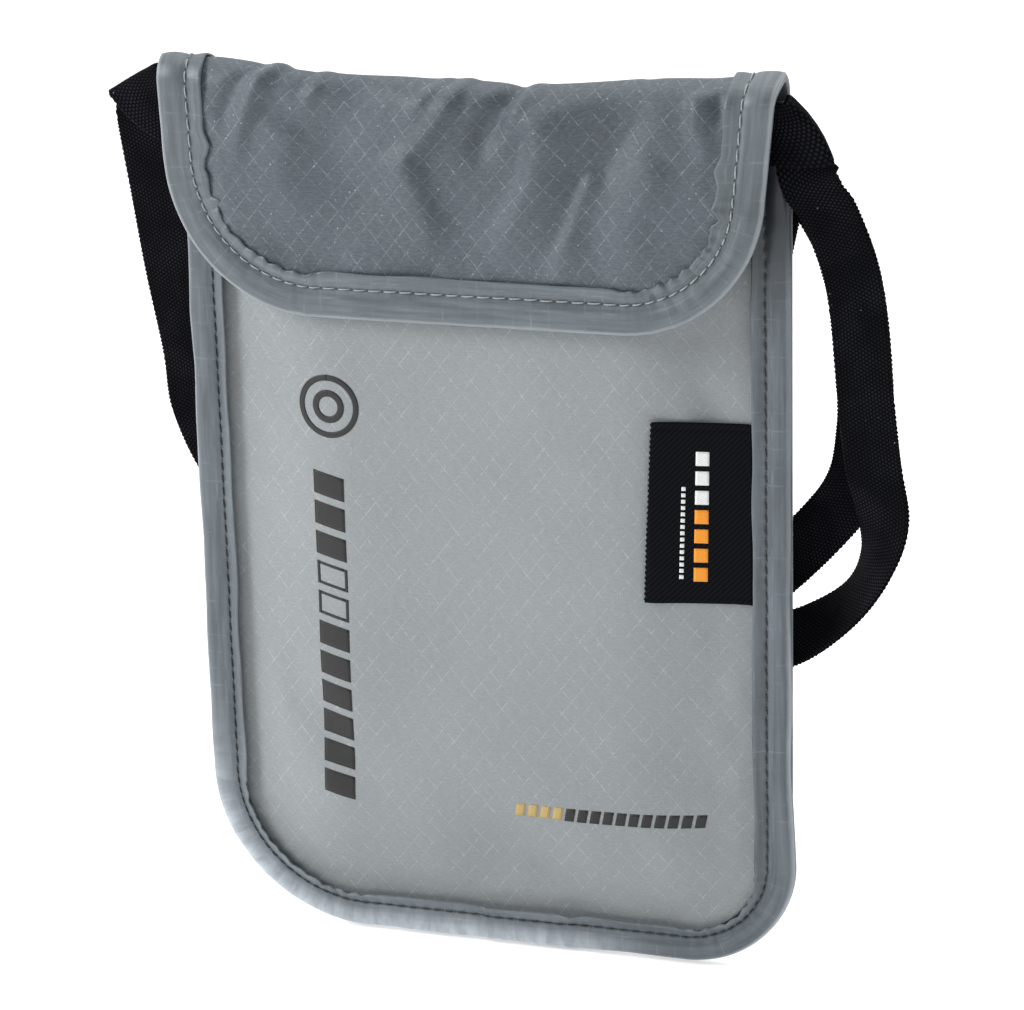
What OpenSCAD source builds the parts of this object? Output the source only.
// Neck pouch wallet: a flat fabric pocket that hangs upright from a webbing neck strap.
// Millimetres. X runs across the pouch, -Y is the front, +Z is up.
// The origin is on the top fold, midway between the two ends of the strap.

/* [Body] */
// Width of the pouch
body_w = 145; // [140:1:150]
// Height of the pouch, from the top fold to the bottom edge
body_h = 215; // [212:1:222]
// Radius of the two bottom corners
corner_r = 30; // [24:1:34]
// Height of the mouth of the front pocket, measured down from the top fold
mouth_drop = 34; // [33:0.5:35]
// How far the front panel stands out when the pocket is empty
pocket_bulge = 6.3; // [5.8:0.1:6.5]
// Width of the tape that binds the sides and the bottom
binding_w = 9.5; // [8:0.5:10]

/* [Flap] */
// Width of the flap at the top fold
flap_w = 145; // [144:1:148]
// How far the flap sits to the left of the pouch's centre
flap_shift = 1.5; // [0:0.5:2]
// Height of the flap, measured down from the top fold
flap_drop = 59.5; // [58:0.5:64]
// How much the flap narrows towards its left corner
flap_taper_left = 1; // [0:0.5:3]
// How much the flap narrows towards its right corner
flap_taper_right = 3; // [0:0.5:4]
// Radius of the flap's two corners
flap_r = 35; // [28:1:36]
// Width of the tape that binds the flap
flap_binding_w = 11; // [9:0.5:12]
// Outer radius of the top fold
fold_r = 6.8; // [6.8:0.1:7.2]

/* [Label] */
// Length of the woven label, up and down
label_h = 43; // [30:1:50]
// Width of the woven label, out from the binding
label_w = 23; // [16:1:24]
// Height of the label's top edge, measured down from the top fold
label_drop = 80; // [70:1:100]

/* [Strap] */
// Width of the webbing
strap_w = 13; // [11:1:13]
// Thickness of the webbing
strap_t = 1.2; // [1:0.1:1.2]

/* [Zip] */
// Length of the zip between its end stops
zip_len = 88; // [60:1:88]
// Height of the zip's centre line, measured down from the top fold
zip_drop = 21; // [20.5:0.25:21.5]

/* [Hidden] */
$fn = 64;

// The layers of the top fold, as radii about its centre line.
tape_t = 0.6;
fold_panel_r = fold_r - tape_t;
fold_lining_r = fold_panel_r - 0.5;
fold_inside_r = fold_lining_r - 0.4;
fold_hollow_r = fold_inside_r - tape_t;
// The back panel's outer face is the fold's panel layer, carried straight down.
back_y = 2;
fold_y = back_y - fold_panel_r;
fold_z = -fold_r;
// The hinge line lies just above the crest of the fold.
hinge_gap = 0.4;

// Where the flat panels lie inside the side binding.
front_y = -0.6;
inner_y = 0.7;
inner_t = 0.5;
panel_t = 0.6;
liner_t = 0.4;
layer_gap = 0.1;
patch_gap = 0.05;
binding_front_y = -1.6;
binding_back_y = back_y + tape_t;
// The front panel's edge is tucked this far under the binding.
tuck = 2;
panel_inset = binding_w - tuck;

zip_z = -zip_drop;
slot_half_h = 3.4;
slider_at = zip_len / 2 - 6;
puller_len = 11;
stud_r = 0.8;
running_gap = 0.06;

tape_grey = "#7d868c";
flap_grey = "#6b747b";
panel_grey = "#a9aba6";
strap_black = "#15161a";

// ---- outlines, drawn as seen from the front ----

// A panel with two round bottom corners, drawn in from its outline by inset on the sides and the bottom.
module pocket_outline(w, top, bottom, r, inset) {
  half = w / 2 - inset;
  low = bottom + inset;
  round_r = r - inset;
  translate([-half, low + round_r])
    square([2 * half, top - low - round_r]);
  translate([-half + round_r, low])
    square([2 * (half - round_r), round_r + 1]);
  for (side = [-1, 1])
    translate([side * (half - round_r), low + round_r])
      circle(r = round_r);
}

// The flap narrows towards its round corners.
module flap_outline(inset) {
  half = flap_w / 2;
  corners = [-half + flap_taper_left + flap_r, half - flap_taper_right - flap_r];
  hull() {
    translate([-half + inset, 0])
      square([2 * (half - inset), 1]);
    for (x = corners)
      translate([x, -flap_drop + flap_r])
        circle(r = flap_r - inset);
  }
}

// Stands an outline up in the XZ plane, from front to back.
module stand(front, back) {
  translate([0, back, 0])
    rotate([90, 0, 0])
      linear_extrude(back - front)
        children();
}

// One layer of cloth that runs down the back, over the top fold and down the front, seen from the side.
module fold_layer(r_out, r_in, flap_side) {
  side = flap_side ? -1 : 1;
  far = flap_drop + body_h;
  intersection() {
    difference() {
      circle(r = r_out);
      circle(r = r_in);
    }
    translate([flap_side ? -r_out - 1 : hinge_gap, 0])
      square([r_out + 1 - hinge_gap, r_out + 1]);
  }
  translate([flap_side ? -r_out : r_in, -far])
    square([r_out - r_in, far]);
}

// The same layer as a solid, cut to the outline that is passed in.
module fold_solid(r_out, r_in, flap_side) {
  intersection() {
    translate([-body_w, fold_y, fold_z])
      rotate([90, 0, 90])
        linear_extrude(2 * body_w)
          fold_layer(r_out, r_in, flap_side);
    translate([-flap_shift, 0, 0])
      stand(-body_w, body_w)
        children();
  }
}

// ---- bulging cloth, as a grid of points ----

// The rows of the front pocket's grid run from the mouth down to the bottom edge.
row_count = 9;
corner_steps = 7;
column_count = 26;
panel_half = body_w / 2 - panel_inset;
panel_r = corner_r - panel_inset;
corner_z = -body_h + corner_r;

// The cloth lies flat under the binding and a little way inside it, and then rises over this distance.
flat_w = tuck + 1.5;
rise_w = 30;
free_half = panel_half - flat_w;
free_r = panel_r - flat_w;

// How far a point is inside the cloth's flat margin.
function inside(x, z) =
  let (round_x = abs(x) - (free_half - free_r), round_z = corner_z - z)
  round_z <= 0 ? free_half - abs(x) : free_r - norm([max(round_x, 0), round_z]);
function rise(d) = pow(sin(90 * max(0, min(1, d / rise_w))), 1.3);
function bulge_y(x, z) = front_y - pocket_bulge * rise(inside(x, z));

// Half the panel's width at an angle round the bottom corner, and the height there.
function corner_half(a) = panel_half - panel_r + panel_r * cos(a);
function corner_height(a) = corner_z - panel_r * sin(a);
function panel_rows(top, bottom, steps) = [
  for (i = [0 : steps]) [panel_half, top + (bottom - top) * i / steps]
];
function corner_rows() = [
  for (i = [1 : corner_steps]) [corner_half(90 * i / corner_steps), corner_height(90 * i / corner_steps)]
];
function bulge_grid(rows, step_out, from_u = -1, to_u = 1) = [
  for (row = rows) [
    for (i = [0 : column_count])
      let (x = row[0] * (from_u + (to_u - from_u) * i / column_count))
      [x, bulge_y(x, row[1]) + step_out, row[1]]
  ]
];

// A closed solid between a grid of points and the same grid moved back by a thickness.
module thick_sheet(grid, thickness) {
  rows = len(grid);
  cols = len(grid[0]);
  front = [for (row = grid) for (p = row) p];
  back = [for (p = front) p + [0, thickness, 0]];
  n = len(front);
  skin = [
    for (r = [0 : rows - 2]) for (c = [0 : cols - 2])
      let (a = r * cols + c) [a, a + 1, a + cols + 1, a + cols]
  ];
  rim = concat(
    [for (c = [0 : cols - 1]) c],
    [for (r = [1 : rows - 1]) r * cols + cols - 1],
    [for (c = [cols - 2 : -1 : 0]) (rows - 1) * cols + c],
    [for (r = [rows - 2 : -1 : 1]) r * cols]
  );
  function fan(q) = [[q[0], q[1], q[2]], [q[0], q[2], q[3]]];
  front_faces = [for (q = skin) each fan(q)];
  back_faces = [for (f = front_faces) [f[2] + n, f[1] + n, f[0] + n]];
  rim_faces = [
    for (i = [0 : len(rim) - 1])
      let (a = rim[i], b = rim[(i + 1) % len(rim)])
      each fan([b, a, a + n, b + n])
  ];
  polyhedron(concat(front, back), concat(front_faces, back_faces, rim_faces));
}

// ---- the pocket ----

// The rear wall, and the start of the same cloth's turn over the top.
module back_panel() {
  color(flap_grey) {
    stand(back_y - (fold_panel_r - fold_lining_r), back_y)
      pocket_outline(body_w, fold_z, -body_h, corner_r, tape_t);
    fold_solid(fold_panel_r, fold_lining_r, false)
      translate([-flap_w / 2, fold_z])
        square([flap_w, 2 * fold_r]);
  }
}

// The wall between the front pocket and the zipped rear pocket, with the slot behind the zip.
module inner_panel() {
  margin = 1;
  color(flap_grey)
    difference() {
      stand(inner_y, inner_y + inner_t)
        pocket_outline(body_w, fold_z - margin, -body_h, corner_r, margin);
      translate([-zip_len / 2, inner_y - 1, zip_z - slot_half_h])
        cube([zip_len, inner_t + 2, 2 * slot_half_h]);
    }
}

module front_panel() {
  color(panel_grey)
    thick_sheet(
      bulge_grid(concat(panel_rows(-mouth_drop, corner_z, row_count), corner_rows()), 0),
      panel_t
    );
}

// The foil-faced lining that backs the front panel, cut a little short of its top edge.
module shield_liner() {
  short = 2;
  top = -mouth_drop - short;
  color("silver")
    thick_sheet(
      bulge_grid(concat(panel_rows(top, corner_z, row_count), corner_rows()), panel_t + layer_gap),
      liner_t
    );
}

// The tape folded over the front panel's top edge.
module mouth_hem() {
  hem_h = 4.5;
  hem_t = 0.25;
  color(tape_grey)
    thick_sheet(
      bulge_grid(panel_rows(-mouth_drop, -mouth_drop - hem_h, 1), -hem_t - layer_gap / 2),
      hem_t
    );
}

// A folded tape that grips the edges of all the panels, down both sides and round the bottom.
module body_binding() {
  color(tape_grey) {
    difference() {
      stand(binding_front_y, binding_back_y)
        pocket_outline(body_w, fold_z, -body_h, corner_r, 0);
      stand(binding_front_y - 1, binding_back_y + 1)
        pocket_outline(body_w, 1, -body_h, corner_r, binding_w);
      stand(binding_front_y + tape_t, back_y)
        pocket_outline(body_w, 1, -body_h, corner_r, tape_t);
    }
  }
}

// The soft half of the flap's closure. Its back lies against the middle of the front panel.
module loop_patch() {
  patch_w = 60;
  patch_h = 9.5;
  patch_t = 1.1;
  color("dimgray")
    translate([-patch_w / 2, front_y - pocket_bulge - patch_gap - patch_t, -flap_drop + flap_binding_w])
      cube([patch_w, patch_t, patch_h]);
}

// ---- the zip of the rear pocket ----

zip_tape_t = 0.5;
zip_face_y = inner_y - zip_tape_t;

// Each tape runs on past the ends of the zip.
module zip_tape(side) {
  tape_h = 5.3;
  inner_edge = 1.2;
  run_on = 2;
  color("dimgray")
    translate([-zip_len / 2 - run_on, zip_face_y, side > 0 ? zip_z + inner_edge : zip_z - inner_edge - tape_h])
      cube([zip_len + 2 * run_on, zip_tape_t, tape_h]);
}

// A coil stands on the front of its tape, and leaves a gap for the slider's neck.
module zip_coil(side) {
  coil_h = 1.2;
  coil_t = 1.2;
  half_gap = 0.35;
  color("gray")
    translate([-zip_len / 2, zip_face_y - coil_t, side > 0 ? zip_z + half_gap : zip_z - half_gap - coil_h])
      cube([zip_len, coil_t, coil_h]);
}

module zip_stop(side) {
  stop_l = 1.8;
  stop_h = 3.8;
  stop_t = 1.4;
  color("silver")
    translate([side > 0 ? zip_len / 2 : -zip_len / 2 - stop_l, zip_face_y - stop_t, zip_z - stop_h / 2])
      cube([stop_l, stop_t, stop_h]);
}

// Two wings joined through the gap between the coils, with a headed stud for the puller.
module zip_slider() {
  wing_l = 8;
  wing_h = 6.2;
  front_wing_y = inner_y - 2.9;
  front_wing_t = 0.9;
  rear_wing_y = inner_y + 0.2;
  rear_wing_t = 0.4;
  neck_l = 2;
  neck_h = 0.3;
  stud_l = 1.8;
  head_r = 1.5;
  head_t = 0.5;
  sunk = 0.01;
  color("silver") {
    translate([slider_at, front_wing_y + front_wing_t, zip_z])
      rotate([90, 0, 0])
        linear_extrude(front_wing_t)
          wing_outline(wing_l, wing_h);
    translate([slider_at, rear_wing_y + rear_wing_t, zip_z])
      rotate([90, 0, 0])
        linear_extrude(rear_wing_t)
          wing_outline(wing_l, wing_h);
    translate([slider_at - neck_l / 2, front_wing_y + front_wing_t / 2, zip_z - neck_h / 2])
      cube([neck_l, rear_wing_y - front_wing_y, neck_h]);
    translate([slider_at, front_wing_y + sunk, zip_z])
      rotate([90, 0, 0])
        cylinder(r = stud_r, h = stud_l);
    translate([slider_at, front_wing_y - stud_l + 2 * sunk, zip_z])
      rotate([90, 0, 0])
        cylinder(r = head_r, h = head_t);
  }
}

// A slider's wing is wide at the open end and narrows towards the closed end.
module wing_outline(l, h) {
  polygon([[-l / 2, -h / 2 + 1], [l / 2 - 1, -h / 2], [l / 2, -h / 2 + 1],
           [l / 2, h / 2 - 1], [l / 2 - 1, h / 2], [-l / 2, h / 2 - 1]]);
}

module zip_puller() {
  eye_r = 2.4;
  tip_r = 2;
  tip_hole_r = 1.1;
  plate_t = 0.8;
  plate_back_y = inner_y - 3.7;
  color("silver")
    translate([slider_at, plate_back_y, zip_z])
      rotate([90, 0, 0])
        linear_extrude(plate_t)
          difference() {
            union() {
              circle(r = eye_r);
              translate([-tip_r, -puller_len + tip_r])
                square([2 * tip_r, puller_len - tip_r]);
              translate([0, -puller_len + tip_r])
                circle(r = tip_r);
            }
            circle(r = stud_r + running_gap);
            translate([0, -puller_len + tip_r])
              circle(r = tip_hole_r);
          }
}

// ---- the flap ----

module flap_panel() {
  color(flap_grey)
    fold_solid(fold_panel_r, fold_lining_r, true)
      flap_outline(tape_t);
}

module flap_lining() {
  film = 0.02;
  color("dimgray")
    fold_solid(fold_lining_r - film, fold_inside_r + film, true)
      flap_outline(tape_t + layer_gap);
}

// The tape's outer and inner runs, joined round the flap's edge.
module flap_binding() {
  color(tape_grey)
    difference() {
      fold_solid(fold_r, fold_hollow_r, true)
        flap_outline(0);
      fold_solid(fold_r + 1, fold_hollow_r - 1, true)
        flap_outline(flap_binding_w);
      fold_solid(fold_panel_r, fold_inside_r, true)
        flap_outline(tape_t - layer_gap);
    }
}

// The stiff half of the flap's closure, on the lining.
module hook_patch() {
  patch_w = 58;
  patch_h = 8.5;
  patch_t = 0.95;
  above_tape = 0.5;
  color("dimgray")
    translate([-patch_w / 2, fold_y - fold_inside_r, -flap_drop + flap_binding_w + above_tape])
      cube([patch_w, patch_t, patch_h]);
}

// ---- the woven label ----

// It lies over the pocket's shoulder and is sewn at its right edge only.
module side_label() {
  label_t = 0.4;
  edge_gap = 0.2;
  face_gap = 0.35;
  right_u = (body_w / 2 - binding_w - edge_gap) / panel_half;
  left_u = right_u - label_w / panel_half;
  color("black")
    thick_sheet(
      bulge_grid(panel_rows(-label_drop, -label_drop - label_h, 4), -label_t - face_gap, left_u, right_u),
      label_t
    );
}

// ---- the strap ----

// The webbing's route from its left end to its right end. Each row is the middle of the webbing (x, y, z),
// the angle of its width seen from the front, the tilt of its width towards the back, and half of its width
// along that line, which is longer than half the webbing where it is folded on the slant. The half widths
// are those of webbing route_w wide.
route_w = 13;
strap_route = [
  // sewn down at the left, out to the left and folded over
  [-52, -0.3, -28.5, 60, 0, 6.5],
  [-57.5, -0.3, -25.3, 60, 0, 6.5],
  [-60, -2.3, -24, 60, 0, 6.5],
  [-63.5, -2.6, -22.4, 59, 0, 6.5],
  [-70, -2.6, -18.2, 57, 0, 6.5],
  [-78, -2.6, -13.4, 48, 0, 6.5],
  [-83, -1.5, -8.8, 30, 0, 6.8],
  [-83.9, 0.5, -7.9, 30, 0, 6.8],
  [-83, 2.5, -9.3, 30, 0, 6.8],
  // down beside the left edge
  [-83.4, 3.5, -17, 9, 0, 6.5],
  [-81.6, 4.5, -34, 7, 0, 6.5],
  [-79.4, 5.5, -54, 7, 0, 6.5],
  [-76.4, 6.5, -74, 8, 0, 6.5],
  [-75.3, 7.5, -88, 14, 0, 6.5],
  [-69, 9.5, -104, 25, 0, 6.5],
  // across behind the pouch in a low curve
  [-57, 12, -119, 42, 0, 6.5],
  [-40, 14, -131, 58, 0, 6.5],
  [-20, 15, -139, 72, 0, 6.5],
  [2, 15.5, -143, 85, 0, 6.5],
  [24, 15.5, -142, 97, 0, 6.5],
  [44, 15, -135, 112, 0, 6.5],
  [60, 14, -124.5, 125, 0, 6.5],
  // out past the right edge and up behind the front run
  [74, 12.5, -110.5, 137, 0, 6.5],
  [83, 11, -98, 152, 0, 6.5],
  [86, 10, -84, 176, 0, 6.5],
  [86, 9.5, -70, 184, 0, 6.5],
  [84.5, 9, -54, 190, 0, 6.5],
  [81.5, 9, -42, 198, 0, 6.5],
  [76, 9.5, -32, 203, 0, 6.5],
  // doubled back behind the top corner and down behind the pouch
  [70.5, 10, -21.5, 194, 0, 6.6],
  [68.8, 8.5, -18, 185, 0, 6.8],
  [67.8, 6.5, -21.5, 176, 0, 6.6],
  [66, 6, -32, 168, 0, 6.5],
  [60, 6, -60, 167, 0, 6.5],
  [52, 6, -95, 167, 0, 6.5],
  [44.5, 6.5, -130, 165, 0, 6.5],
  // folded on the slant and out to the right again
  [41, 6.5, -145.5, 140, 0, 7.3],
  [40, 8, -147, 140, 0, 7.3],
  [41, 9.5, -145.5, 140, 0, 7.3],
  [52, 10, -142, 114, 0, 6.5],
  [64, 10, -137.5, 114, 15, 6.5],
  [74, 9.5, -132.5, 122, 40, 6.5],
  [84, 8, -124, 135, 55, 6.5],
  [89.5, 6.5, -114, 158, 45, 6.5],
  [91.3, 5, -103, 178, 15, 6.5],
  // up the front run
  [89.3, 4, -91, 184, 0, 6.5],
  [87.7, 3, -75, 183, 0, 6.5],
  [86.2, 1.5, -54, 187, 0, 6.5],
  [84.2, 0, -42.5, 197, 0, 6.5],
  [80.3, -2.2, -31, 203, 0, 6.5],
  [76.2, -3.4, -24.2, 198, 0, 6.5],
  // folded over to the left and sewn down under the flap
  [75.9, -3.6, -13.2, 128, 0, 8.4],
  [76.8, -5, -12.4, 127, 0, 8.4],
  [75.9, -6.4, -13.2, 126, 0, 8.4],
  [67, -5.6, -14, 98, 0, 6.5],
  [61.5, -2.4, -15, 90, 0, 6.5],
  [57, -0.3, -15, 90, 0, 6.5],
  [50, -0.3, -15, 90, 0, 6.5]
];

function at(row) = [row[0], row[1], row[2]];
function across(row) =
  [cos(row[3]) * cos(row[4]), sin(row[4]), sin(row[3]) * cos(row[4])];
function unit(v) = v / norm(v);

// One ring of the webbing: eight points round a flat section.
function strap_ring(route, i) =
  let (
    before = at(route[max(i - 1, 0)]),
    after = at(route[min(i + 1, len(route) - 1)]),
    wide = across(route[i]),
    thick = unit(cross(after - before, wide)),
    w = route[i][5] * strap_w / route_w,
    t = strap_t / 2
  )
  [
    for (corner = [[-1, -0.5], [-0.94, -1], [0.94, -1], [1, -0.5], [1, 0.5], [0.94, 1], [-0.94, 1], [-1, 0.5]])
      at(route[i]) + wide * w * corner[0] + thick * t * corner[1]
  ];

module neck_strap() {
  rings = [for (i = [0 : len(strap_route) - 1]) strap_ring(strap_route, i)];
  sides = 8;
  last = (len(rings) - 1) * sides;
  walls = [
    for (r = [0 : len(rings) - 2]) for (s = [0 : sides - 1])
      let (a = r * sides + s, b = r * sides + (s + 1) % sides)
      each [[a, b, b + sides], [a, b + sides, a + sides]]
  ];
  start_cap = [for (s = [1 : sides - 2]) [0, s + 1, s]];
  end_cap = [for (s = [1 : sides - 2]) [last, last + s, last + s + 1]];
  color(strap_black)
    polyhedron([for (ring = rings) each ring], concat(walls, start_cap, end_cap));
}

// A block of close stitches across the flat end of the strap, between its last two rows.
module strap_tack(end_row, next_row) {
  tack_w = 10;
  tack_h = 2.4;
  tack_t = 0.5;
  middle = (at(end_row) + at(next_row)) / 2;
  color("black")
    translate(middle - [0, strap_t / 2 + tack_t, 0])
      rotate([0, -end_row[3], 0])
        translate([-tack_w / 2, 0, -tack_h / 2])
          cube([tack_w, tack_t, tack_h]);
}

module strap_tack_left() {
  strap_tack(strap_route[0], strap_route[1]);
}

module strap_tack_right() {
  last = len(strap_route) - 1;
  strap_tack(strap_route[last], strap_route[last - 1]);
}

back_panel();
inner_panel();
front_panel();
shield_liner();
mouth_hem();
body_binding();
loop_patch();
zip_tape(1);  // zip_tape_upper
zip_tape(-1);  // zip_tape_lower
zip_coil(1);  // zip_coil_upper
zip_coil(-1);  // zip_coil_lower
zip_stop(-1);  // zip_stop_left
zip_stop(1);  // zip_stop_right
zip_slider();
zip_puller();
flap_panel();
flap_lining();
flap_binding();
hook_patch();
side_label();
neck_strap();
strap_tack_left();
strap_tack_right();
